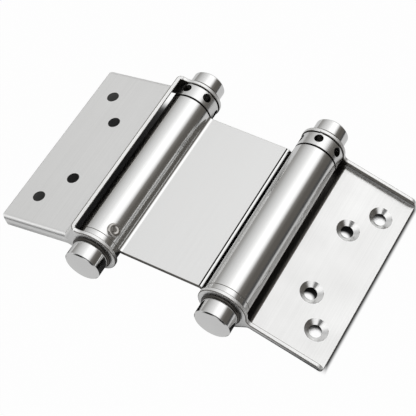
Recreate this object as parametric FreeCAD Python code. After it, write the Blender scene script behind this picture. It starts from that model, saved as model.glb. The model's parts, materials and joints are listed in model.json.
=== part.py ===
import FreeCAD, Part
import math
import os

# Double action spring hinge, lying open, in millimetres with +Z up.
# Two leaves hang on the two barrels of one S-rolled centre web. The barrels run along Y.
# The left half is the right half turned half a turn about Y, with its own bend and opening angle.

# Sheet and centre web
sheet = 2.0
axis_spacing = 67.5
barrel_radius = 11.0
right_web_bend_radius = 1.7
right_ramp_angle = 46.0
left_web_bend_radius = 3.5
left_ramp_angle = 72.0
roll_end_angle = 171.0

# Leaf plate, seen in the plane across the barrel: u away from the axis, w along the plate normal
leaf_length = 102.0
leaf_reach = 52.5
plate_drop = 3.2
flange_height = 3.0
bend_start = 15.45
bend_radius = 3.0
wall_angle = 52.0
wall_length = 10.7
end_bend_radius = 3.0
inner_bevel = 0.6
top_ear_radius = 11.4
bottom_ear_radius = 12.2
ear_neck_share = 1.2
neck_fillet = 3.0
leaf_corner_radius = 3.0
flange_corner_radius = 3.5
right_droop_angle = 17.4
left_droop_angle = 12.2

# Screw holes of a leaf
hole_radius = 3.1
countersink_radius = 5.7
countersink_depth = 1.6
outer_hole_u = 41.0
outer_hole_spacing = 68.0
inner_hole_u = 30.7
inner_hole_spacing = 37.8

# Pin, washers and tips
pin_radius = 4.0
pin_depth_in_tip = 4.5
washer_radius = 9.9
washer_height = 1.5
top_tip_radius = 8.5
bottom_tip_radius = 9.0
top_tip_height = 8.0
bottom_tip_height = 8.0
top_tip_edge = 0.8
bottom_tip_edge = 0.5

# Plug, rivet, tension collar and spring
plug_ring_height = 2.9
plug_shank_length = 12.0
rivet_radius = 1.5
rivet_head_radius = 3.4
rivet_head_height = 1.2
rivet_edge = 0.6
rivet_length = 5.0
rivet_from_end = 4.5
rivet_angle = 233.0
collar_height = 7.7
collar_shank_length = 10.0
bar_hole_radius = 2.25
bar_hole_depth = 5.0
bar_hole_from_top = 3.1
bar_hole_count = 6
right_hole_angle = 30.5
left_hole_angle = 50.0
spring_wire = 2.5
coil_gap = 1.15
turn_count = 7
steps_in_turn_count = 10
spring_tang = 4.0

# Clearances
end_gap = 0.3
collar_gap = 0.6
running_clearance = 0.08
seat_clearance = 0.05
tang_clearance = 0.3

# Derived places along the barrel
leaf_half = leaf_length / 2
ear_inside = leaf_half - sheet
plug_ring_bottom = -ear_inside + end_gap
barrel_bottom = plug_ring_bottom + plug_ring_height
collar_top = ear_inside - end_gap
collar_bottom = collar_top - collar_height
barrel_top = collar_bottom - collar_gap
bore_radius = barrel_radius - sheet
spring_mean_radius = bore_radius - coil_gap - spring_wire / 2
plug_shank_end = barrel_bottom + plug_shank_length
collar_shank_end = collar_bottom - collar_shank_length
along = FreeCAD.Vector(0, 1, 0)
origin = FreeCAD.Vector(0, 0, 0)


def point(u, w):
    return FreeCAD.Vector(u, 0, w)


def on_circle(centre, radius, angle):
    turn = math.radians(angle)
    return point(centre.x + radius * math.cos(turn), centre.z + radius * math.sin(turn))


def arc(centre, radius, start, end):
    middle = on_circle(centre, radius, (start + end) / 2)
    first = on_circle(centre, radius, start)
    last = on_circle(centre, radius, end)
    return Part.Arc(first, middle, last).toShape()


def slab(edges, low, high):
    face = Part.Face(Part.Wire(Part.__sortEdges__(edges)))
    face.translate(FreeCAD.Vector(0, low, 0))
    return face.extrude(FreeCAD.Vector(0, high - low, 0))


def rod(radius, low, high):
    return Part.makeCylinder(radius, high - low, FreeCAD.Vector(0, low, 0), along)


def edge_circles(solid, radius, height):
    found = []
    for edge in solid.Edges:
        if isinstance(edge.Curve, Part.Circle):
            if abs(edge.Curve.Radius - radius) < 1e-4 and abs(edge.Curve.Center.y - height) < 1e-4:
                found.append(edge)
    return found


# One half of the centre web: flat sheet, a bend, a short ramp down and the rolled barrel
def half_web(web_bend_radius, ramp_angle):
    roll_radius = barrel_radius - sheet / 2
    slope = math.radians(ramp_angle)
    axis = point(axis_spacing / 2, 0)
    ramp_drop = roll_radius * math.cos(slope) - web_bend_radius * (1 - math.cos(slope))
    bend_from_axis = (roll_radius + web_bend_radius) * math.sin(slope) + ramp_drop / math.tan(slope)
    bend = point(axis.x - bend_from_axis, -web_bend_radius)
    bend_outside = web_bend_radius + sheet / 2
    bend_inside = web_bend_radius - sheet / 2
    bend_end = 90 - ramp_angle
    roll_start = 270 - ramp_angle
    roll_end = 360 + roll_end_angle
    edges = [
        Part.makeLine(point(0, sheet / 2), point(bend.x, sheet / 2)),
        arc(bend, bend_outside, 90, bend_end),
        Part.makeLine(on_circle(bend, bend_outside, bend_end), on_circle(axis, bore_radius, roll_start)),
        arc(axis, bore_radius, roll_start, roll_end),
        Part.makeLine(on_circle(axis, bore_radius, roll_end), on_circle(axis, barrel_radius, roll_end)),
        arc(axis, barrel_radius, roll_end, roll_start),
        Part.makeLine(on_circle(axis, barrel_radius, roll_start), on_circle(bend, bend_inside, bend_end)),
        arc(bend, bend_inside, bend_end, 90),
        Part.makeLine(point(bend.x, -sheet / 2), point(0, -sheet / 2)),
        Part.makeLine(point(0, -sheet / 2), point(0, sheet / 2)),
    ]
    return slab(edges, barrel_bottom, barrel_top)


# Rivet place: a radial rod on the barrel, with the axis at the origin
def radial_rod(radius, start, end, height, angle):
    direction = on_circle(origin, 1.0, angle)
    base = direction * start + along * height
    return Part.makeCylinder(radius, end - start, base, direction)


rivet_height = barrel_bottom + rivet_from_end
rivet_tail = barrel_radius - rivet_length
rivet_head_end = barrel_radius + rivet_head_height
rivet_hole = radial_rod(rivet_radius + seat_clearance, rivet_tail - seat_clearance,
                        rivet_head_end, rivet_height, rivet_angle)

# Room for the rivet head where the web's ramp leaves the barrel
head_room = radial_rod(rivet_head_radius + seat_clearance, rivet_tail, rivet_head_end, rivet_height, rivet_angle)
head_room = head_room.cut(rod(barrel_radius, barrel_bottom, barrel_top))
web_cut = rivet_hole.fuse(head_room)


def to_right(shape):
    placed = shape.copy()
    placed.translate(point(axis_spacing / 2, 0))
    return placed


def to_left(shape):
    placed = shape.copy()
    placed.rotate(origin, along, 180)
    placed.translate(point(-axis_spacing / 2, 0))
    return placed


right_half = half_web(right_web_bend_radius, right_ramp_angle)
left_half = half_web(left_web_bend_radius, left_ramp_angle)
left_half.rotate(origin, along, 180)
centre_web = right_half.fuse(left_half).removeSplitter()
centre_web = centre_web.cut(Part.makeCompound([to_right(web_cut), to_left(web_cut)]))


# Leaf: a pressed tray with a sloping wall beside the barrel and an ear at each end
def make_leaf():
    back = -plate_drop - sheet
    flange_rim = -plate_drop + flange_height
    bend = point(bend_start, -plate_drop - bend_radius)
    bend_end = 90 + wall_angle
    back_radius = bend_radius - sheet
    wall_way = on_circle(origin, 1.0, 180 + wall_angle)
    wall_top = on_circle(bend, bend_radius, bend_end)
    wall_back = on_circle(bend, back_radius, bend_end)
    rim_top = wall_top + wall_way * wall_length
    rim_back = wall_back + wall_way * wall_length
    rim_foot = wall_way * rim_back.dot(wall_way)

    top_line = [
        Part.makeLine(point(leaf_reach, -plate_drop), point(bend_start, -plate_drop)),
        arc(bend, bend_radius, 90, bend_end),
        Part.makeLine(wall_top, rim_top),
    ]
    back_line = [
        Part.makeLine(rim_back, wall_back),
        arc(bend, back_radius, bend_end, 90),
        Part.makeLine(point(bend_start, back), point(leaf_reach, back)),
    ]
    tray_ends = [
        Part.makeLine(rim_top, rim_back),
        Part.makeLine(point(leaf_reach, back), point(leaf_reach, -plate_drop)),
    ]
    ear_ends = [
        Part.makeLine(point(leaf_reach, back), point(leaf_reach, flange_rim)),
        Part.makeLine(point(leaf_reach, flange_rim), point(0, flange_rim)),
        Part.makeLine(point(0, flange_rim), rim_foot),
        Part.makeLine(rim_foot, rim_back),
    ]
    tray = slab(top_line + back_line + tray_ends, -leaf_half, leaf_half)

    # End plate: flange and ear in one, with soft necks where the ring meets them
    def end_plate(low, ear_radius):
        ring_from_foot = math.sqrt(ear_radius ** 2 - rim_foot.Length ** 2)
        ear_fillet = ear_neck_share * ((rim_back - rim_foot).Length - ring_from_foot)
        plate = slab(back_line + ear_ends, low, low + sheet)
        plate = plate.fuse(rod(ear_radius, low, low + sheet)).removeSplitter()
        wall_neck = []
        flange_neck = []
        outer_corner = []
        for edge in plate.Edges:
            middle = edge.CenterOfMass
            upright = abs(edge.tangentAt(edge.FirstParameter).y) > 0.99
            on_ring = abs(math.hypot(middle.x, middle.z) - ear_radius) < 1e-3
            if upright and on_ring and abs(middle.z - flange_rim) < 1e-3:
                flange_neck.append(edge)
            elif upright and on_ring and abs(middle.dot(wall_way) - rim_back.dot(wall_way)) < 1e-3:
                wall_neck.append(edge)
            elif upright and abs(middle.x - leaf_reach) < 1e-3 and abs(middle.z - flange_rim) < 1e-3:
                outer_corner.append(edge)
        plate = plate.makeFillet(neck_fillet, flange_neck)
        plate = refillet(plate, ear_fillet, wall_neck)
        return refillet(plate, flange_corner_radius, outer_corner)

    bottom_plate = end_plate(-leaf_half, bottom_ear_radius)
    top_plate = end_plate(ear_inside, top_ear_radius)
    leaf = tray.fuse([bottom_plate, top_plate]).removeSplitter()
    leaf = leaf.makeFillet(end_bend_radius, end_chain(leaf, leaf_half, back_line))
    leaf = leaf.makeChamfer(inner_bevel, end_chain(leaf, ear_inside, top_line))

    # Rounded outer corners of the plate, seen from above
    margin = 2 * max(top_ear_radius, bottom_ear_radius)
    blank = Part.makeBox(leaf_reach + margin, leaf_length, 2 * margin)
    blank.translate(FreeCAD.Vector(-margin, -leaf_half, -margin))
    corners = []
    for edge in blank.Edges:
        if abs(edge.tangentAt(edge.FirstParameter).z) > 0.99 and edge.CenterOfMass.x > leaf_reach - 1e-3:
            corners.append(edge)
    leaf = leaf.common(blank.makeFillet(leaf_corner_radius, corners))

    # Pin holes in the ears and countersunk screw holes in the plate
    leaf = leaf.cut(rod(pin_radius + seat_clearance, -leaf_half - sheet, leaf_half + sheet))
    for u, spacing in ((outer_hole_u, outer_hole_spacing), (inner_hole_u, inner_hole_spacing)):
        for side in (-1, 1):
            seat = FreeCAD.Vector(u, side * spacing / 2, -plate_drop)
            down = FreeCAD.Vector(0, 0, -1)
            hole = Part.makeCylinder(hole_radius, 2 * sheet, seat, down)
            sink = Part.makeCone(countersink_radius, hole_radius, countersink_depth, seat, down)
            leaf = leaf.cut(hole.fuse(sink))
    return leaf


# Fillets the edges of a solid that lie where the given edges lay
def refillet(solid, radius, wanted):
    places = [edge.CenterOfMass for edge in wanted]
    found = []
    for edge in solid.Edges:
        if any((edge.CenterOfMass - place).Length < 1e-3 for place in places):
            found.append(edge)
    return solid.makeFillet(radius, found)


# Edges at both ends of the tray along one contour line
def end_chain(solid, height, line):
    found = []
    for edge in solid.Edges:
        ends = [vertex.Point.y for vertex in edge.Vertexes]
        if all(abs(abs(end) - height) < 1e-4 for end in ends):
            middle = edge.valueAt((edge.FirstParameter + edge.LastParameter) / 2)
            if abs(abs(middle.y) - height) < 1e-4:
                flat = Part.Vertex(point(middle.x, middle.z))
                if any(piece.distToShape(flat)[0] < 1e-3 for piece in line):
                    found.append(edge)
    return found


# Bottom plug: ring below the barrel end and a shank that fills the bore
plug = rod(barrel_radius, plug_ring_bottom, barrel_bottom)
plug = plug.fuse(rod(bore_radius - seat_clearance, barrel_bottom, plug_shank_end)).removeSplitter()
plug = plug.cut(rod(pin_radius + running_clearance, plug_ring_bottom - sheet, plug_shank_end + sheet))
plug = plug.cut(rivet_hole)

# Tension collar: ring with radial holes for the winding bar, and a shank in the bore
collar = rod(barrel_radius, collar_bottom, collar_top)
collar_shank = rod(bore_radius - running_clearance, collar_shank_end, collar_bottom)
collar = collar.fuse(collar_shank).removeSplitter()
collar = collar.cut(rod(pin_radius + running_clearance, collar_shank_end - sheet, collar_top + sheet))
bar_hole_start = barrel_radius - bar_hole_depth
bar_hole_height = collar_top - bar_hole_from_top
bar_holes = []
for index in range(bar_hole_count):
    angle = index * 360 / bar_hole_count
    hole = radial_rod(bar_hole_radius, bar_hole_start, barrel_radius + sheet, bar_hole_height, angle)
    bar_holes.append(hole)
collar = collar.cut(Part.makeCompound(bar_holes))

# Torsion spring: square wire coil round the pin, with a straight tang into the plug and the collar
half_wire = spring_wire / 2
coil_bottom = plug_shank_end + end_gap + half_wire
coil_top = collar_shank_end - end_gap - half_wire


def coil_section(step):
    turn = step / steps_in_turn_count
    height = coil_bottom + (coil_top - coil_bottom) * turn / turn_count
    corners = []
    for out, up in ((-1, -1), (1, -1), (1, 1), (-1, 1)):
        way = on_circle(origin, spring_mean_radius + out * half_wire, 360 * turn)
        corners.append(way + along * (height + up * half_wire))
    return corners


def flat_face(*corners):
    return Part.Face(Part.makePolygon(list(corners) + [corners[0]]))


def coil():
    last_step = round(turn_count * steps_in_turn_count)
    faces = [flat_face(*coil_section(0)), flat_face(*coil_section(last_step))]
    for step in range(last_step):
        near = coil_section(step)
        far = coil_section(step + 1)
        for corner in range(4):
            other = (corner + 1) % 4
            faces.append(flat_face(near[corner], near[other], far[other]))
            faces.append(flat_face(near[corner], far[other], far[corner]))
    return Part.makeSolid(Part.makeShell(faces))


def tang(half_width, low, high, angle):
    bar = Part.makeBox(2 * half_width, high - low, 2 * half_width)
    bar.translate(FreeCAD.Vector(spring_mean_radius - half_width, low, -half_width))
    bar.rotate(origin, along, -angle)
    return bar


top_angle = 360 * turn_count
tang_bottom = plug_shank_end - spring_tang
tang_top = collar_shank_end + spring_tang
spring = coil().fuse([
    tang(half_wire, tang_bottom, coil_bottom + half_wire, 0),
    tang(half_wire, coil_top - half_wire, tang_top, top_angle),
])
plug = plug.cut(tang(half_wire + seat_clearance, tang_bottom - end_gap, plug_shank_end, 0))
collar_tang_hole = tang(half_wire + tang_clearance, collar_shank_end, tang_top + end_gap, top_angle)

# Rivet: shank through the barrel into the plug, and a button head seated on the barrel
rivet = radial_rod(rivet_head_radius, rivet_tail, rivet_head_end, rivet_height, rivet_angle)
rivet_rim = []
for edge in rivet.Edges:
    if abs(math.hypot(edge.CenterOfMass.x, edge.CenterOfMass.z) - rivet_head_end) < 1e-3:
        rivet_rim.append(edge)
rivet = rivet.makeChamfer(rivet_edge, rivet_rim)
rivet = rivet.cut(rod(barrel_radius, barrel_bottom, barrel_top))
shank = radial_rod(rivet_radius, rivet_tail, rivet_head_end - rivet_edge, rivet_height, rivet_angle)
rivet = rivet.fuse(shank)

# Pin, washers and tips; the washers lie on the ears and the tips close the pin ends
tip_low = leaf_half + washer_height
pin_half = tip_low + pin_depth_in_tip
pin = rod(pin_radius, -pin_half, pin_half)
washer = rod(washer_radius, leaf_half, tip_low).cut(rod(pin_radius + seat_clearance, leaf_half, tip_low))
pin_seat = rod(pin_radius + seat_clearance, tip_low, pin_half + seat_clearance)


def make_tip(radius, height, edge):
    tip = rod(radius, tip_low, tip_low + height)
    tip = tip.makeChamfer(edge, edge_circles(tip, radius, tip_low + height))
    return tip.cut(pin_seat)


top_tip = make_tip(top_tip_radius, top_tip_height, top_tip_edge)
bottom_tip = make_tip(bottom_tip_radius, bottom_tip_height, bottom_tip_edge)


def to_bottom(shape):
    turned = shape.copy()
    turned.rotate(origin, FreeCAD.Vector(1, 0, 0), 180)
    return turned


def turned_about_axis(shape, angle):
    turned = shape.copy()
    turned.rotate(origin, along, angle)
    return turned


leaf = make_leaf()
nodes = {"centre_web": centre_web}
sides = (
    ("right", to_right, right_droop_angle, right_hole_angle),
    ("left", to_left, -left_droop_angle, left_hole_angle),
)
for side, place, droop, hole_angle in sides:
    nodes[side + "_leaf"] = place(turned_about_axis(leaf, droop))
    nodes[side + "_hinge_pin"] = place(pin)
    nodes[side + "_top_washer"] = place(washer)
    nodes[side + "_bottom_washer"] = place(to_bottom(washer))
    nodes[side + "_top_tip"] = place(top_tip)
    nodes[side + "_bottom_tip"] = place(to_bottom(bottom_tip))
    nodes[side + "_bottom_plug"] = place(plug)
    nodes[side + "_plug_rivet"] = place(rivet)
    nodes[side + "_torsion_spring"] = place(spring)
    nodes[side + "_tension_collar"] = place(turned_about_axis(collar, -hole_angle).cut(collar_tang_hole))

# The frame's origin is the middle of the whole hinge's box, at its lowest level
box = Part.makeCompound(list(nodes.values())).optimalBoundingBox(False, False)
to_base = FreeCAD.Vector(-box.Center.x, -box.Center.y, -box.ZMin)
os.makedirs("parts", exist_ok=True)
for name, shape in nodes.items():
    shape.translate(to_base)
    shape.exportStep("parts/" + name + ".step")
print("moved to base by", to_base)
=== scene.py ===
import json
import math
from functools import partial

import bmesh
import bpy
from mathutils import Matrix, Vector


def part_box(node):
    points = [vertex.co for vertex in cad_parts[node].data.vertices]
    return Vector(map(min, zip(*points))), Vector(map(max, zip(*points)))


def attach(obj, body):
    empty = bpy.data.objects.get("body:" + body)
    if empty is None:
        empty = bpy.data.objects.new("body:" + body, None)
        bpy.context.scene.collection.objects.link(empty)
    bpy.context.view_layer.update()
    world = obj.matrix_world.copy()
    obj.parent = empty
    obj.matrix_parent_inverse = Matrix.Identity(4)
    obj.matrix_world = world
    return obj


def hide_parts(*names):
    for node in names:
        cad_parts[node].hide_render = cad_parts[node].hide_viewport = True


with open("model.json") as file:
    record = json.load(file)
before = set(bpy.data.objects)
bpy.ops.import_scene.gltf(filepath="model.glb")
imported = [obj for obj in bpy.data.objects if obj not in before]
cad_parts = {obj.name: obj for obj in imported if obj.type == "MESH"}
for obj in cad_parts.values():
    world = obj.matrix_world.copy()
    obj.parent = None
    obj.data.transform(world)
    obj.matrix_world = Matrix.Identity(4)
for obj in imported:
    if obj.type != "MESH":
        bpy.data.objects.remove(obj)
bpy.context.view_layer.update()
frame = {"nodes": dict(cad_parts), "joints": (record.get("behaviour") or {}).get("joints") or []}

# Centre web: one stainless sheet, its two sides rolled into barrels that face opposite ways.
# The rolled faces are drawn bright with fine lines along the barrels, and the sheared ends are left dull.
# A dark line of painted shade runs along the crease at the foot of the ramp that leads up to the right
# barrel.
def steel_finish(name, colour, roughness, line_stretch, line_depth, line_tone, across_lines=0.0):
    material = bpy.data.materials.new(name)
    material.use_nodes = True
    nodes = material.node_tree.nodes
    link = material.node_tree.links.new
    shader = nodes["Principled BSDF"]
    shader.inputs["Metallic"].default_value = 1.0
    place = nodes.new("ShaderNodeTexCoord")

    # Fine lines left by the belt, the rolls or the cutting tool
    stretch = nodes.new("ShaderNodeMapping")
    stretch.inputs["Scale"].default_value = line_stretch
    lines = nodes.new("ShaderNodeTexNoise")
    lines.inputs["Scale"].default_value = 1.0
    lines.inputs["Detail"].default_value = 5.0
    lines.inputs["Roughness"].default_value = 0.7
    link(place.outputs["Object"], stretch.inputs["Vector"])
    link(stretch.outputs["Vector"], lines.inputs["Vector"])
    tone = nodes.new("ShaderNodeMix")
    tone.data_type = "RGBA"
    tone.inputs["A"].default_value = tuple((1 - line_tone) * part for part in colour) + (1.0,)
    tone.inputs["B"].default_value = tuple((1 + line_tone) * part for part in colour) + (1.0,)
    link(lines.outputs["Fac"], tone.inputs["Factor"])
    link(tone.outputs["Result"], shader.inputs["Base Color"])

    # Slow clouds of handling in the polish
    clouds = nodes.new("ShaderNodeTexNoise")
    clouds.inputs["Scale"].default_value = 45.0
    clouds.inputs["Detail"].default_value = 3.0
    polish = nodes.new("ShaderNodeMapRange")
    polish.inputs["From Min"].default_value = 0.3
    polish.inputs["From Max"].default_value = 0.7
    polish.inputs["To Min"].default_value = roughness[0]
    polish.inputs["To Max"].default_value = roughness[1]
    link(place.outputs["Object"], clouds.inputs["Vector"])
    link(clouds.outputs["Fac"], polish.inputs["Value"])
    link(polish.outputs["Result"], shader.inputs["Roughness"])

    grain = nodes.new("ShaderNodeBump")
    grain.inputs["Distance"].default_value = line_depth
    link(lines.outputs["Fac"], grain.inputs["Height"])
    link(grain.outputs["Normal"], shader.inputs["Normal"])

    # Brushing along the barrels spreads each highlight across its lines
    if across_lines:
        along = nodes.new("ShaderNodeVectorTransform")
        along.vector_type = "VECTOR"
        along.convert_from = "OBJECT"
        along.convert_to = "WORLD"
        along.inputs["Vector"].default_value = (0, 1, 0)
        link(along.outputs["Vector"], shader.inputs["Tangent"])
        shader.inputs["Anisotropic"].default_value = across_lines
        shader.inputs["Anisotropic Rotation"].default_value = 0.25
    return material


def soften(piece, edge_radius, edge_finish=-1):
    bevel = piece.modifiers.new("softened edges", "BEVEL")
    bevel.width = edge_radius
    bevel.segments = 3
    bevel.material = edge_finish
    bevel.limit_method = "WEIGHT"
    bevel.use_clamp_overlap = False
    shading = piece.modifiers.new("flat faces kept flat", "WEIGHTED_NORMAL")
    shading.mode = "FACE_AREA"
    shading.weight = 100
    shading.keep_sharp = True


def add_piece(name, shell, materials, body, node):
    for face in shell.faces:
        face.smooth = True
    mesh = bpy.data.meshes.new(name)
    shell.to_mesh(mesh)
    shell.free()
    for material in materials:
        mesh.materials.append(material)
    piece = bpy.data.objects.new(name, mesh)
    bpy.context.scene.collection.objects.link(piece)
    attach(piece, body)
    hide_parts(node)
    return piece


# A merged copy of a solid: its flat faces are joined up again, its free outer edges are marked
# to be softened and its other edges stay sharp
merge_distance = 1e-7
flat_angle = math.radians(0.2)
edge_angle = math.radians(28)
narrow_face = 0.00075
small_face = 20e-6


def solid_shell(node):
    solid = frame["nodes"][node].data
    mesh = bpy.data.meshes.new("raw")
    mesh.from_pydata([v.co for v in solid.vertices], [], [tuple(f.vertices) for f in solid.polygons])
    shell = bmesh.new()
    shell.from_mesh(mesh)
    bpy.data.meshes.remove(mesh)
    bmesh.ops.remove_doubles(shell, verts=shell.verts, dist=merge_distance)
    bmesh.ops.dissolve_limit(shell, angle_limit=flat_angle, verts=shell.verts, edges=shell.edges)
    shell.normal_update()
    softened = shell.edges.layers.float.new("bevel_weight_edge")
    for edge in shell.edges:
        angle = edge.calc_face_angle_signed()
        areas = [face.calc_area() for face in edge.link_faces]
        roomy = min(areas) > narrow_face * edge.calc_length() and max(areas) > small_face
        if angle > edge_angle and roomy:
            edge[softened] = 1.0
        elif abs(angle) > edge_angle:
            edge.smooth = False
    return shell


drawn_steel = steel_finish(
    "drawn_barrel_steel", colour=(0.73, 0.73, 0.725), roughness=(0.12, 0.17),
    line_stretch=(2200, 9, 2200), line_depth=0.5e-6, line_tone=0.05,
)
sheared_steel = steel_finish(
    "sheared_edge_steel", colour=(0.22, 0.21, 0.195), roughness=(0.3, 0.4),
    line_stretch=(900, 2500, 900), line_depth=4e-6, line_tone=0.2,
)
# Near black finish: painted shade in gaps between parts, holes and creases
painted_shade_steel = steel_finish(
    "painted_shade_black_steel", colour=(0.035, 0.033, 0.03), roughness=(0.5, 0.6),
    line_stretch=(1500, 1500, 1500), line_depth=4e-6, line_tone=0.3,
)
web_finishes = [drawn_steel, sheared_steel, painted_shade_steel]
web_edge = 0.0002
endward_facing = 0.9
crease_shade_upward = 0.9
crease_shade_lean = 0.25
crease_shade_reach = 0.03
web_shell = solid_shell("centre_web")
for face in web_shell.faces:
    # Faces along the crease at the foot of the ramp take the near black finish as painted shade
    bent = face.normal.z > crease_shade_upward and 0 < face.normal.x < crease_shade_lean
    if abs(face.normal.y) > endward_facing:
        face.material_index = web_finishes.index(sheared_steel)
    elif bent and 0 < face.calc_center_median().x < crease_shade_reach:
        face.material_index = web_finishes.index(painted_shade_steel)
web = add_piece("rolled_web", web_shell, web_finishes, "centre", "centre_web")
soften(web, web_edge, web_finishes.index(sheared_steel))

# Bottom plugs: turned steel stoppers pressed into the lower barrel mouths, with a ring that shows below.
# The rings are polished, and the shanks inside the barrels are coloured near black as painted shade.
turned_steel = steel_finish(
    "turned_ring_steel", colour=(0.72, 0.72, 0.715), roughness=(0.11, 0.16),
    line_stretch=(90, 5200, 90), line_depth=0.8e-6, line_tone=0.06,
)
sides = ("left", "right")
axis = {
    side: Vector(joint["pos_m"])
    for side in sides for joint in frame["joints"] if joint["name"] == side + "_leaf_hinge"
}
barrel_radius = 0.011
ring_skin = 0.0004
shank_facing = 0.7
plug_edge = 0.00025
plug_finishes = [turned_steel, painted_shade_steel]


# The shank inside the barrel and the holes drilled into a ring are coloured near black as painted shade
def paint_shank_shade(shell, side, finishes):
    for face in shell.faces:
        middle = face.calc_center_median() - axis[side]
        inside = math.hypot(middle.x, middle.z) < barrel_radius - ring_skin
        if inside and abs(face.normal.y) < shank_facing:
            face.material_index = finishes.index(painted_shade_steel)


for side in sides:
    node = side + "_bottom_plug"
    shell = solid_shell(node)
    paint_shank_shade(shell, side, plug_finishes)
    plug = add_piece(side + "_plug", shell, plug_finishes, "centre", node)
    soften(plug, plug_edge)

# Plug rivets: one short steel rivet through the wall of each barrel, which holds the plug.
# Each is turned, with a burnished head that is hollowed into a shallow cup.
rivet_head = 0.0034
rivet_shank = 0.0015
rivet_length = 0.005
seat_depth = 0.0004
head_height = 0.0012
cup_depth = 0.0003
cup_radius = 0.0019
cup_floor = cup_radius * 0.6
shank_rounding = 0.0002
seat_rounding = 0.0001
head_rounding = 0.0010
cup_rounding = 0.0004
slim_steps = 64


# An outline of corners (radius, height, rounding) with its corners rounded by short arcs
def rounded_outline(corners, closed):
    arc_steps = 5
    points = []
    for index, (radius, height, rounding) in enumerate(corners):
        here = Vector((radius, height))
        ends = not closed and index in (0, len(corners) - 1)
        if ends or rounding == 0:
            points.append(here)
            continue
        back = Vector(corners[index - 1][:2]) - here
        on = Vector(corners[(index + 1) % len(corners)][:2]) - here
        back.normalize()
        on.normalize()
        half = back.angle(on) / 2
        centre = here + (back + on).normalized() * rounding / math.sin(half)
        first = here + back * rounding / math.tan(half) - centre
        last = here + on * rounding / math.tan(half) - centre
        swing = first.angle(last)
        for step in range(arc_steps + 1):
            share = step / arc_steps
            way = first * math.sin((1 - share) * swing) + last * math.sin(share * swing)
            points.append(centre + way / math.sin(swing))
    return points


# A shape turned about a line, with one point where its outline meets the line
def turned_shell(base, direction, corners, closed=False, steps=96):
    on_line = 1e-7
    across = direction.orthogonal().normalized()
    beside = direction.cross(across)
    shell = bmesh.new()
    rings = []
    for radius, height in rounded_outline(corners, closed):
        middle = base + direction * height
        if radius < on_line:
            rings.append([shell.verts.new(middle)])
            continue
        ring = []
        for step in range(steps):
            turn = 2 * math.pi * step / steps
            spoke = across * math.cos(turn) + beside * math.sin(turn)
            ring.append(shell.verts.new(middle + spoke * radius))
        rings.append(ring)
    if closed:
        rings.append(rings[0])
    for near, far in zip(rings, rings[1:]):
        for step in range(steps):
            after = (step + 1) % steps
            corners_here = (near[step % len(near)], near[after % len(near)],
                            far[after % len(far)], far[step % len(far)])
            shell.faces.new(dict.fromkeys(corners_here))
    bmesh.ops.recalc_face_normals(shell, faces=shell.faces)
    return shell


burnished_steel = steel_finish(
    "burnished_rivet_steel", colour=(0.42, 0.405, 0.385), roughness=(0.16, 0.26),
    line_stretch=(1500, 1500, 1500), line_depth=9e-6, line_tone=0.18,
)
rivet_corners = (
    (0, -rivet_length, 0),
    (rivet_shank, -rivet_length, shank_rounding),
    (rivet_shank, -seat_depth, seat_rounding),
    (rivet_head, -seat_depth, seat_rounding),
    (rivet_head, head_height, head_rounding),
    (cup_radius, head_height, cup_rounding),
    (cup_floor, head_height - cup_depth, cup_rounding),
    (0, head_height - cup_depth, 0),
)
for side in sides:
    low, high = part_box(side + "_plug_rivet")
    middle = (low + high) / 2
    outward = Vector((middle.x - axis[side].x, 0, middle.z - axis[side].z)).normalized()
    seat = Vector((axis[side].x, middle.y, axis[side].z)) + outward * barrel_radius
    shell = turned_shell(seat, outward, rivet_corners, steps=slim_steps)
    add_piece(side + "_rivet", shell, [burnished_steel], "centre", side + "_plug_rivet")

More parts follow.
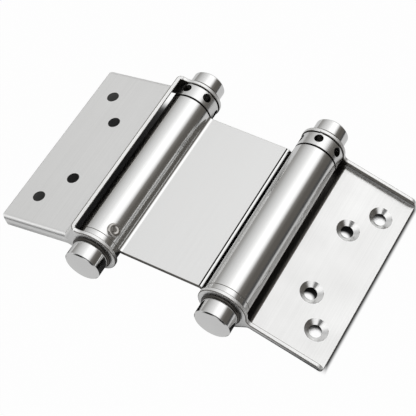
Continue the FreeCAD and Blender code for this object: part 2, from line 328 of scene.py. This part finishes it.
# Torsion springs: square wire wound round the pin, with a straight tang into the plug and into the collar.
# Oiled dark spring steel, out of sight inside the barrels.
def spring_tree(material):
    tree = bpy.data.node_groups.new("wound_spring", "GeometryNodeTree")
    sizes = {}
    for label in ("Wire", "Mean Radius", "Turns", "Coil Length", "Tang"):
        socket = tree.interface.new_socket(label, in_out="INPUT", socket_type="NodeSocketFloat")
        sizes[label] = socket.identifier
    tree.interface.new_socket("Geometry", in_out="OUTPUT", socket_type="NodeSocketGeometry")
    nodes = tree.nodes
    link = tree.links.new
    given = nodes.new("NodeGroupInput")
    made = nodes.new("NodeGroupOutput")

    # The wire's section, a square with rounded corners
    square = nodes.new("GeometryNodeCurvePrimitiveQuadrilateral")
    link(given.outputs["Wire"], square.inputs["Width"])
    link(given.outputs["Wire"], square.inputs["Height"])
    corner = nodes.new("GeometryNodeFilletCurve")
    corner.mode = "POLY"
    corner.inputs["Count"].default_value = 2
    corner.inputs["Radius"].default_value = 0.0004
    link(square.outputs["Curve"], corner.inputs["Curve"])

    # The coil, and the tangs before and after it
    coil = nodes.new("GeometryNodeCurveSpiral")
    coil.inputs["Resolution"].default_value = 48
    coil.inputs["Reverse"].default_value = True
    link(given.outputs["Turns"], coil.inputs["Rotations"])
    link(given.outputs["Mean Radius"], coil.inputs["Start Radius"])
    link(given.outputs["Mean Radius"], coil.inputs["End Radius"])
    link(given.outputs["Coil Length"], coil.inputs["Height"])
    paths = nodes.new("GeometryNodeJoinGeometry")
    upright = nodes.new("GeometryNodeSetCurveNormal")
    upright.mode = "Z_UP"
    link(coil.outputs["Curve"], upright.inputs["Curve"])
    link(upright.outputs["Curve"], paths.inputs["Geometry"])
    below = nodes.new("ShaderNodeMath")
    below.operation = "MULTIPLY"
    below.inputs[1].default_value = -1.0
    link(given.outputs["Tang"], below.inputs[0])
    above = nodes.new("ShaderNodeMath")
    above.operation = "ADD"
    link(given.outputs["Coil Length"], above.inputs[0])
    link(given.outputs["Tang"], above.inputs[1])
    for start, end in ((below.outputs[0], None), (given.outputs["Coil Length"], above.outputs[0])):
        tang = nodes.new("GeometryNodeCurvePrimitiveLine")
        for height, socket in ((start, "Start"), (end, "End")):
            spot = nodes.new("ShaderNodeCombineXYZ")
            link(given.outputs["Mean Radius"], spot.inputs["X"])
            if height is not None:
                link(height, spot.inputs["Z"])
            link(spot.outputs["Vector"], tang.inputs[socket])
        link(tang.outputs["Curve"], paths.inputs["Geometry"])

    wire = nodes.new("GeometryNodeCurveToMesh")
    wire.inputs["Fill Caps"].default_value = True
    link(paths.outputs["Geometry"], wire.inputs["Curve"])
    link(corner.outputs["Curve"], wire.inputs["Profile Curve"])
    real = nodes.new("GeometryNodeRealizeInstances")
    finish = nodes.new("GeometryNodeSetMaterial")
    finish.inputs["Material"].default_value = material
    link(wire.outputs["Mesh"], real.inputs["Geometry"])
    link(real.outputs["Geometry"], finish.inputs["Geometry"])
    link(finish.outputs["Geometry"], made.inputs["Geometry"])
    return tree, sizes


oiled_steel = steel_finish(
    "oiled_spring_steel", colour=(0.20, 0.20, 0.205), roughness=(0.28, 0.4),
    line_stretch=(900, 900, 900), line_depth=6e-6, line_tone=0.2,
)
wound_spring, spring_sizes = spring_tree(oiled_steel)
wire_size = 0.0025
turn_count = 7
tang_reach = 0.0043
tang_length = tang_reach + wire_size / 2
for side, start in (("left", math.pi), ("right", 0.0)):
    node = side + "_torsion_spring"
    low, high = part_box(node)
    holder = bpy.data.objects.new("spring_holder", bpy.data.meshes.new("spring_holder"))
    bpy.context.scene.collection.objects.link(holder)
    winding = holder.modifiers.new("winding", "NODES")
    winding.node_group = wound_spring
    sizes = {
        "Wire": wire_size,
        "Mean Radius": (high.x - low.x - wire_size) / 2,
        "Turns": float(turn_count),
        "Coil Length": high.y - low.y - 2 * tang_length,
        "Tang": tang_length,
    }
    for label, size in sizes.items():
        winding[spring_sizes[label]] = size
    wound = holder.evaluated_get(bpy.context.evaluated_depsgraph_get())
    mesh = bpy.data.meshes.new_from_object(wound)
    bpy.data.objects.remove(holder)
    shell = bmesh.new()
    shell.from_mesh(mesh)
    for vertex in shell.verts:
        out, beside, up = vertex.co
        vertex.co = (
            axis[side].x + out * math.cos(start),
            low.y + tang_length + up,
            axis[side].z - beside * math.cos(start),
        )
    bmesh.ops.recalc_face_normals(shell, faces=shell.faces)
    add_piece(side + "_spring", shell, [oiled_steel], "centre", node)

# Tension collars: turned rings on the upper barrel mouths, with six radial holes for the winding bar.
# Their faces are satin turned, and their shanks, holes and softened edges are coloured near black as
# painted shade.
ring_steel = steel_finish(
    "satin_ring_steel", colour=(0.72, 0.72, 0.715), roughness=(0.22, 0.28),
    line_stretch=(90, 5200, 90), line_depth=0.8e-6, line_tone=0.06,
)
collar_edge = 0.0003
collar_finishes = [ring_steel, painted_shade_steel]
for side in sides:
    node = side + "_tension_collar"
    shell = solid_shell(node)
    paint_shank_shade(shell, side, collar_finishes)
    group = side + "_collar_group"
    collar = add_piece(side + "_collar", shell, collar_finishes, group, node)
    soften(collar, collar_edge, collar_finishes.index(painted_shade_steel))

# Leaves: pressed stainless trays with a sloping wall beside the barrel, low end flanges and two ears.
# They are satin brushed along the barrels and dark along their sheared edges; the faces towards the barrel
# and inside the flanges are coloured dark as painted shade. Four countersunk holes in each take the screws,
# with their straight walls coloured near black as painted shade.
satin_steel = steel_finish(
    "satin_leaf_steel", colour=(0.835, 0.835, 0.83), roughness=(0.34, 0.40),
    line_stretch=(2600, 12, 2600), line_depth=5e-6, line_tone=0.10, across_lines=0.8,
)
cut_steel = steel_finish(
    "countersunk_steel", colour=(0.72, 0.72, 0.715), roughness=(0.16, 0.22),
    line_stretch=(900, 900, 900), line_depth=2e-6, line_tone=0.08,
)
# Dark finish as painted shade on the faces towards the barrel and inside the flanges
painted_shade_leaf_steel = steel_finish(
    "painted_shade_inner_steel", colour=(0.2, 0.19, 0.175), roughness=(0.35, 0.45),
    line_stretch=(900, 900, 900), line_depth=3e-6, line_tone=0.15,
)
leaf_finishes = [satin_steel, cut_steel, sheared_steel, painted_shade_steel, painted_shade_leaf_steel]
leaf_edge = 0.00032
hole_field = 0.043
hole_start = 0.02
hole_end = 0.05
plate_facing = 0.95
cone_facing = 0.2
barrel_facing = 0.45
inward_facing = 0.9
for side in sides:
    node = side + "_leaf"
    shell = solid_shell(node)
    plate_normal = max(shell.faces, key=lambda face: face.calc_area()).normal.copy()
    for face in shell.faces:
        middle = face.calc_center_median() - axis[side]
        tilt = abs(face.normal.dot(plate_normal))
        in_field = abs(middle.y) < hole_field and hole_start < math.hypot(middle.x, middle.z) < hole_end
        to_axis = face.normal.dot(Vector((-middle.x, 0, -middle.z)).normalized())
        inward = -face.normal.y * math.copysign(1, middle.y)
        if in_field and tilt < plate_facing:
            # Straight hole walls are coloured near black as painted shade
            hole_finish = cut_steel if tilt > cone_facing else painted_shade_steel
            face.material_index = leaf_finishes.index(hole_finish)
        elif to_axis > barrel_facing or inward > inward_facing:
            # Faces towards the barrel and inside the flanges are coloured dark as painted shade
            face.material_index = leaf_finishes.index(painted_shade_leaf_steel)
    leaf = add_piece(side + "_tray", shell, leaf_finishes, side + "_leaf_group", node)
    soften(leaf, leaf_edge, leaf_finishes.index(sheared_steel))

# Pins, washers and tips: a ground pin runs through both ears and the barrel of each leaf.
# A bead washer, coloured near black as a painted dark reflection and shade, and a turned bright tip close
# each of its ends.
ground_steel = steel_finish(
    "ground_pin_steel", colour=(0.58, 0.575, 0.565), roughness=(0.16, 0.24),
    line_stretch=(120, 4200, 120), line_depth=0.8e-6, line_tone=0.08,
)
bright_steel = steel_finish(
    "bright_tip_steel", colour=(0.72, 0.72, 0.715), roughness=(0.09, 0.13),
    line_stretch=(110, 4600, 110), line_depth=0.6e-6, line_tone=0.05,
)
# Near black finish for the bead washers: a painted dark reflection and shade at the tips' feet
painted_dark_bead_steel = steel_finish(
    "painted_dark_washer_steel", colour=(0.07, 0.066, 0.06), roughness=(0.14, 0.2),
    line_stretch=(110, 4600, 110), line_depth=0.6e-6, line_tone=0.1,
)
along = Vector((0, 1, 0))
pin_rounding = 0.0003
pin_fit = 0.00005
bead_flatness = 2.3
tip_bore = 0.00455
rim_rounding = 0.0001
foot_rounding = 0.0002
tip_chamfers = (("top", 1, 0.0010), ("bottom", -1, 0.0006))
for side in sides:
    group = side + "_leaf_group"
    low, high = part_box(side + "_hinge_pin")
    pin_radius = (high.x - low.x) / 2
    hole = pin_radius + pin_fit
    on_axis = Vector((axis[side].x, 0, axis[side].z))
    corners = (
        (0, low.y, 0), (pin_radius, low.y, pin_rounding),
        (pin_radius, high.y, pin_rounding), (0, high.y, 0),
    )
    shell = turned_shell(on_axis, along, corners, steps=slim_steps)
    add_piece(side + "_pin", shell, [ground_steel], group, side + "_hinge_pin")
    for level, way, chamfer in tip_chamfers:
        node = f"{side}_{level}_washer"
        low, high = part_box(node)
        radius = (high.x - low.x) / 2
        bead = (high.y - low.y) / bead_flatness
        corners = ((hole, low.y, 0), (radius, low.y, bead), (radius, high.y, bead), (hole, high.y, 0))
        shell = turned_shell(on_axis, along, corners, closed=True)
        add_piece(f"{side}_{level}_bead", shell, [painted_dark_bead_steel], group, node)

        node = f"{side}_{level}_tip"
        low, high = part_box(node)
        radius = (high.x - low.x) / 2
        foot, end = (low.y, high.y) if way > 0 else (high.y, low.y)
        bore_end = foot + way * tip_bore
        corners = (
            (0, end, 0),
            (radius - chamfer, end, rim_rounding),
            (radius, end - way * chamfer, rim_rounding),
            (radius, foot, foot_rounding),
            (hole, foot, 0),
            (hole, bore_end, 0),
            (0, bore_end, 0),
        )
        shell = turned_shell(on_axis, along, corners)
        add_piece(f"{side}_{level}_cap", shell, [bright_steel], group, node)

# Floor: a plain matt sheet under the hinge, not part of it, with near black paint and a white glowing
# share. It reads white round the hinge; where something covers it the white share is lowered as painted
# shade, which follows the cover also when the leaves move, and fixed zones and spots on the floor add
# painted shade and painted light.
floor_half = 3.0
floor_mesh = bpy.data.meshes.new("floor")
floor_corners = [(x * floor_half, y * floor_half, 0) for x, y in ((-1, -1), (1, -1), (1, 1), (-1, 1))]
floor_mesh.from_pydata(floor_corners, [], [(0, 1, 2, 3)])
floor = bpy.data.objects.new("floor", floor_mesh)
bpy.context.scene.collection.objects.link(floor)


def map_smooth(nodes, link, value, from_range, to_range):
    span = nodes.new("ShaderNodeMapRange")
    span.interpolation_type = "SMOOTHSTEP"
    span.inputs["From Min"].default_value, span.inputs["From Max"].default_value = from_range
    span.inputs["To Min"].default_value, span.inputs["To Max"].default_value = to_range
    link(value, span.inputs["Value"])
    return span.outputs["Result"]


def combine(nodes, link, operation, first, second=0.0):
    node = nodes.new("ShaderNodeMath")
    node.operation = operation
    for socket, value in zip(node.inputs, (first, second)):
        if isinstance(value, float):
            socket.default_value = value
        else:
            link(value, socket)
    return node.outputs[0]


# White shows to the camera, and to glossy and transmission rays apart from a dark screen on the right
def ray_shares(nodes, link, across, screen_edge, mirrored_white):
    path = nodes.new("ShaderNodeLightPath")
    glossy, through = path.outputs["Is Glossy Ray"], path.outputs["Is Transmission Ray"]
    mirrored = combine(nodes, link, "MAXIMUM", glossy, through)
    left_of_screen = map_smooth(nodes, link, across, screen_edge, (mirrored_white, 0.0))
    return path.outputs["Is Camera Ray"], combine(nodes, link, "MULTIPLY", mirrored, left_of_screen)


pale_paint = bpy.data.materials.new("pale_floor")
pale_paint.use_nodes = True
floor_nodes = pale_paint.node_tree.nodes
floor_link = pale_paint.node_tree.links.new
floor_map = partial(map_smooth, floor_nodes, floor_link)
floor_math = partial(combine, floor_nodes, floor_link)
paint = floor_nodes["Principled BSDF"]
# The paint is near black: where the white share is lowered it shows as painted shade
paint.inputs["Base Color"].default_value = (0.06, 0.06, 0.06, 1)
paint.inputs["Roughness"].default_value = 0.9
white = floor_nodes.new("ShaderNodeEmission")
white_level = 0.985
# Ambient occlusion of what covers the floor drives its painted shade
cover = floor_nodes.new("ShaderNodeAmbientOcclusion")
cover.inputs["Distance"].default_value = 0.06
cover.samples = 32
floor_place = floor_nodes.new("ShaderNodeTexCoord")
floor_split = floor_nodes.new("ShaderNodeSeparateXYZ")
floor_link(floor_place.outputs["Object"], floor_split.inputs["Vector"])
floor_x = floor_split.outputs["X"]
floor_y = floor_split.outputs["Y"]


# White share of the floor: all of it away from the hinge, and under the hinge where nothing covers it.
# Each reach along the floor has its low end, its high end and the width of its soft edge.
def open_floor(light, dark_to_white, reaches):
    share = floor_map(light, dark_to_white, (0.0, white_level))
    for place, (low, high, fade) in reaches:
        moved = floor_math("SUBTRACT", place, (low + high) / 2)
        distance = floor_math("ABSOLUTE", moved)
        half = (high - low) / 2
        outside = floor_map(distance, (half - fade, half), (0.0, white_level))
        share = floor_math("MAXIMUM", share, outside)
    return share


# What the steel mirrors of the floor: its white share, lowered as painted shade where something covers it
floor_screen = (0.10, 0.16)
mirrored_level = 0.68
mirror_cover = (0.82, 0.97)
mirror_reaches = ((floor_x, (-0.093, 0.093, 0.007)), (floor_y, (-0.062, 0.062, 0.007)))
to_camera, to_mirror = ray_shares(floor_nodes, floor_link, floor_x, floor_screen, mirrored_level)
mirror_open = open_floor(cover.outputs["AO"], mirror_cover, mirror_reaches)
mirrored_floor = floor_math("MULTIPLY", to_mirror, mirror_open)

# What the camera sees: painted shade, cut off at reaches fixed on the floor, which reach further forward
# under the leaves than under the web
web_middle = 0.005
leaf_start = (0.040, 0.052)
leaf_forward = 0.009
right_end = (0.070, 0.078)
right_forward = 0.008
front_fade = (-0.02, 0.0)
off_middle = floor_math("SUBTRACT", floor_x, web_middle)
beside_web = floor_math("ABSOLUTE", off_middle)
leaf_side = floor_map(beside_web, leaf_start, (0.0, leaf_forward))
front_half = floor_map(floor_y, front_fade, (1.0, 0.0))
right_edge = floor_map(floor_x, right_end, (0.0, right_forward))
both_leaves = floor_math("ADD", leaf_side, right_edge)
forward = floor_math("MULTIPLY", both_leaves, front_half)
shaded_y = floor_math("ADD", floor_y, forward)
camera_cover = (0.45, 0.85)
camera_reaches = ((floor_x, (-0.093, 0.0862, 0.002)), (shaded_y, (-0.034, 0.056, 0.007)))

# The painted shade is made deeper under the left leaf, in a zone fixed on the floor
left_leaf_start = (-0.070, -0.058)
left_depth = 2.3
covered = floor_math("SUBTRACT", 1.0, cover.outputs["AO"])
painted_deepening = floor_map(floor_x, left_leaf_start, (left_depth, 1.0))
shade = floor_math("MULTIPLY", covered, painted_deepening)
floor_light = floor_math("SUBTRACT", 1.0, shade)

# Below the right leaf a zone fixed on the floor is painted lighter, so that the light through its outer
# screw holes shows white, as far as the leaf's edge
raised_from = (0.053, 0.056)
raised_to = (0.080, 0.083)
painted_hole_gain = 3.6
gain_undone = 0.278
painted_light_offset = 0.0655
painted_light_shift = floor_map(floor_x, raised_from, (0.0, painted_light_offset))
floor_light = floor_math("SUBTRACT", floor_light, painted_light_shift)
for edge, gain in ((raised_from, painted_hole_gain), (raised_to, gain_undone)):
    gained = floor_map(floor_x, edge, (1.0, gain))
    floor_light = floor_math("MULTIPLY", floor_light, gained)
camera_open = open_floor(floor_light, camera_cover, camera_reaches)

# The inner holes are higher above the floor; below each a soft round painted light spot is fixed on the
# floor
holes_middle = 0.0002
painted_spot_centre = (0.0609, 0.0189, 0.0)
painted_spot_edge = (0.0022, 0.0042)
off_middle_y = floor_math("SUBTRACT", floor_y, holes_middle)
either_end = floor_math("ABSOLUTE", off_middle_y)
spot_place = floor_nodes.new("ShaderNodeCombineXYZ")
floor_link(floor_x, spot_place.inputs["X"])
floor_link(either_end, spot_place.inputs["Y"])
spot_reach = floor_nodes.new("ShaderNodeVectorMath")
spot_reach.operation = "DISTANCE"
spot_reach.inputs[1].default_value = painted_spot_centre
floor_link(spot_place.outputs["Vector"], spot_reach.inputs[0])
spot = floor_map(spot_reach.outputs["Value"], painted_spot_edge, (white_level, 0.0))
camera_open = floor_math("MAXIMUM", camera_open, spot)
seen_floor = floor_math("MULTIPLY", to_camera, camera_open)
white_share = floor_math("MAXIMUM", seen_floor, mirrored_floor)
floor_mix = floor_nodes.new("ShaderNodeMixShader")
floor_link(white_share, floor_mix.inputs["Fac"])
floor_link(paint.outputs[0], floor_mix.inputs[1])
floor_link(white.outputs[0], floor_mix.inputs[2])
floor_link(floor_mix.outputs[0], floor_nodes["Material Output"].inputs["Surface"])
floor_mesh.materials.append(pale_paint)

# Studio: a white surround low down, and for the steel a soft light overhead along the barrels.
# The light fades slowly to the left and quickly to the right.
# In front it is broader, with a dark strip low down.
world = bpy.data.worlds.new("studio")
bpy.context.scene.world = world
world.use_nodes = True
sky = world.node_tree.nodes
sky_link = world.node_tree.links.new
sky_map = partial(map_smooth, sky, sky_link)
sky_math = partial(combine, sky, sky_link)
direction = sky.new("ShaderNodeTexCoord")
sky_split = sky.new("ShaderNodeSeparateXYZ")
sky_link(direction.outputs["Generated"], sky_split.inputs["Vector"])
sky_x = sky_split.outputs["X"]
sky_y = sky_split.outputs["Y"]
sky_z = sky_split.outputs["Z"]


# A colour ramp of the studio's light over a value from 0 to 1
def light_ramp(value, stops):
    node = sky.new("ShaderNodeValToRGB")
    sky_link(value, node.inputs["Fac"])
    elements = node.color_ramp.elements
    while len(elements) < len(stops):
        elements.new(0.5)
    for element, (position, colour) in zip(elements, stops):
        element.position = position
        element.color = colour + (1,)
    return node.outputs["Color"]


# Round the barrels' axis: bright overhead; in front the light is twice as broad
overhead = math.radians(77)
front_to_back = (-0.3, 0.2)
front_narrowing = 0.45
round_axis = sky_math("ARCTAN2", sky_z, sky_x)
off_overhead = sky_math("SUBTRACT", round_axis, overhead)
breadth = sky_map(sky_y, front_to_back, (front_narrowing, 1.0))
narrowed = sky_math("MULTIPLY", off_overhead, breadth)
angle = sky_math("ADD", narrowed, overhead)
circle_share = sky.new("ShaderNodeMapRange")
circle_share.inputs["From Min"].default_value = -math.pi
circle_share.inputs["From Max"].default_value = math.pi
sky_link(angle, circle_share.inputs["Value"])
dim = (0.09, 0.084, 0.076)
low_grey = (0.16, 0.152, 0.142)
dome_stops = (
    (-180, low_grey), (-20, dim), (25, dim), (42, low_grey), (56, (0.82, 0.82, 0.82)), (66, (1, 1, 1)),
    (88, (1, 1, 1)), (108, (0.72, 0.72, 0.72)), (133, (0.54, 0.54, 0.54)), (150, (0.42, 0.42, 0.415)),
    (180, low_grey),
)
dome_ramp = [((turn + 180) / 360, colour) for turn, colour in dome_stops]
dome = light_ramp(circle_share.outputs["Result"], dome_ramp)

# Along the barrels: a dark strip low in front, and brightest high at the back
length_stops = (
    (-1.0, 0.62), (-0.93, 0.62), (-0.89, 0.03), (-0.74, 0.03), (-0.54, 0.95), (-0.25, 0.95), (-0.1, 0.8),
    (0.2, 0.8), (0.42, 1.0),
)
length_share = sky.new("ShaderNodeMapRange")
length_share.inputs["From Min"].default_value = -1.0
sky_link(sky_y, length_share.inputs["Value"])
length_ramp = [((y + 1) / 2, (level,) * 3) for y, level in length_stops]
along_light = light_ramp(length_share.outputs["Result"], length_ramp)

# The camera's stand is dark in what the steel mirrors
stand_way = (0.327, -0.482, 0.813)
stand_edge = (0.965, 0.988)
studio_level = 1.45
stand_level = 0.2
towards_stand = sky.new("ShaderNodeVectorMath")
towards_stand.operation = "DOT_PRODUCT"
towards_stand.inputs[1].default_value = stand_way
sky_link(direction.outputs["Generated"], towards_stand.inputs[0])
stand_shade = sky_map(towards_stand.outputs["Value"], stand_edge, (studio_level, stand_level))
strength = sky_math("MULTIPLY", along_light, stand_shade)
studio = sky.new("ShaderNodeBackground")
sky_link(dome, studio.inputs["Color"])
sky_link(strength, studio.inputs["Strength"])

# The surround shows white to the camera, and faintly in the steel
surround_top = (0.16, 0.26)
surround_screen = (0.2, 0.5)
surround_level = 0.1
surround = sky["Background"]
surround.inputs["Color"].default_value = (1, 1, 1, 1)
surround.inputs["Strength"].default_value = 1.0
low_down = sky_map(sky_z, surround_top, (1.0, 0.0))
to_camera, to_mirror = ray_shares(sky, sky_link, sky_x, surround_screen, surround_level)
rays = sky_math("MAXIMUM", to_camera, to_mirror)
surround_share = sky_math("MULTIPLY", rays, low_down)
sky_mix = sky.new("ShaderNodeMixShader")
sky_link(surround_share, sky_mix.inputs["Fac"])
sky_link(studio.outputs[0], sky_mix.inputs[1])
sky_link(surround.outputs[0], sky_mix.inputs[2])
sky_link(sky_mix.outputs[0], sky["World Output"].inputs["Surface"])

# Camera: high on the right and in front of the hinge, with a long lens.
# Its place and turn were fitted to the outline of the hinge in the photograph.
lens = bpy.data.cameras.new("camera")
lens.lens = 119.93
lens.sensor_width = 36.0
camera = bpy.data.objects.new("camera", lens)
camera.location = (0.21363, -0.31486, 0.54590)
camera.rotation_euler = [math.radians(turn) for turn in (35.233, 3.686, 29.030)]
bpy.context.scene.collection.objects.link(camera)
bpy.context.scene.camera = camera
bpy.context.scene.view_settings.view_transform = "Standard"
